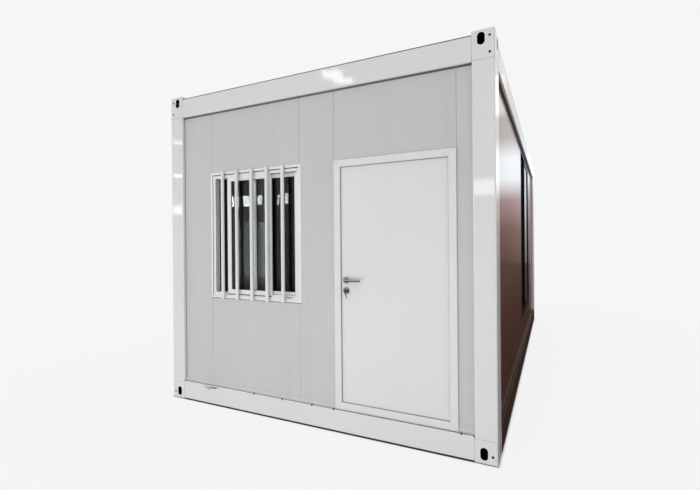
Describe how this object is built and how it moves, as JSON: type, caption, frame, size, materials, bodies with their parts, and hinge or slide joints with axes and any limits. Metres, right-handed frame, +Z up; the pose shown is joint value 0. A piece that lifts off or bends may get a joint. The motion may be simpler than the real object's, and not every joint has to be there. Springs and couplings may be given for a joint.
{
  "type": "flat-pack container home",
  "caption": "Single-room flat-pack container home with a bolted steel frame, sandwich panel walls, a barred sliding window, an inward opening door and a tall side window.",
  "frame": {"origin": "centre of the footprint on the ground", "axes": "+X to the right along the front, +Y from the front with the door to the back, +Z up"},
  "size_m": [2.99, 6.0805, 2.896],
  "materials": {
    "frame_paint": "gloss",
    "panel_grey": "matte",
    "panel_brown": "satin",
    "trim_white": "satin",
    "window_white": "gloss",
    "bar_white": "gloss",
    "glass": "gloss",
    "window_black": "satin",
    "door_white": "satin",
    "brushed_steel": "brushed",
    "key_brass": "satin",
    "galvanised": "satin",
    "floor_board": "matte",
    "ceiling_white": "satin"
  },
  "bodies": {
    "cabin": {"top_front_castings": "frame_paint", "top_back_castings": "frame_paint", "base_front_castings": "frame_paint", "base_back_castings": "frame_paint", "front_posts": "frame_paint", "back_posts": "frame_paint", "roof_end_beams": "frame_paint", "roof_side_beams": "frame_paint", "base_end_beams": "frame_paint", "floor_joists": "galvanised", "floor_deck": "floor_board", "ceiling_board": "ceiling_white", "roof_sheet": "galvanised", "corner_trims": "trim_white", "wall_foot_trims": "trim_white", "front_panel_left": "panel_grey", "front_panel_window": "panel_grey", "front_panel_middle": "panel_grey", "front_panel_over_door": "panel_grey", "front_panel_right": "panel_grey", "back_panels_odd": "panel_grey", "back_panels_even": "panel_grey", "base_side_beams": "panel_brown", "side_foot_trims": "panel_brown", "left_panels_odd": "panel_brown", "left_panels_even": "panel_brown", "right_panels_odd": "panel_brown", "right_panels_even": "panel_brown", "window_frame": "window_white", "window_sash_outer": "window_white", "window_sash_inner": "window_white", "window_panes": "glass", "window_bars": "bar_white", "side_window_frame": "window_black", "side_sash_near": "window_black", "side_sash_far": "window_black", "side_panes": "glass", "side_window_pull": "brushed_steel", "door_frame": "door_white", "hinge_butts": "brushed_steel"},
    "door": {"door_leaf": "door_white", "door_roses": "brushed_steel", "door_lock_plugs": "brushed_steel", "door_keys": "key_brass", "hinge_leaves": "brushed_steel"},
    "lever": {"door_lever": "brushed_steel"}
  },
  "joints": [
    {"name": "door_hinge", "type": "hinge", "parent": "cabin", "child": "door", "pos_m": [1.1935, -2.9385, 1.154], "axis": [0, 0, -1], "range_deg": [0, 95]},
    {"name": "lever_turn", "type": "hinge", "parent": "door", "child": "lever", "pos_m": [0.38, -2.9725, 1.192], "axis": [0, 1, 0], "range_deg": [0, 45], "stiffness_Nm_per_rad": 1.2, "springref_deg": -17.19}
  ]
}
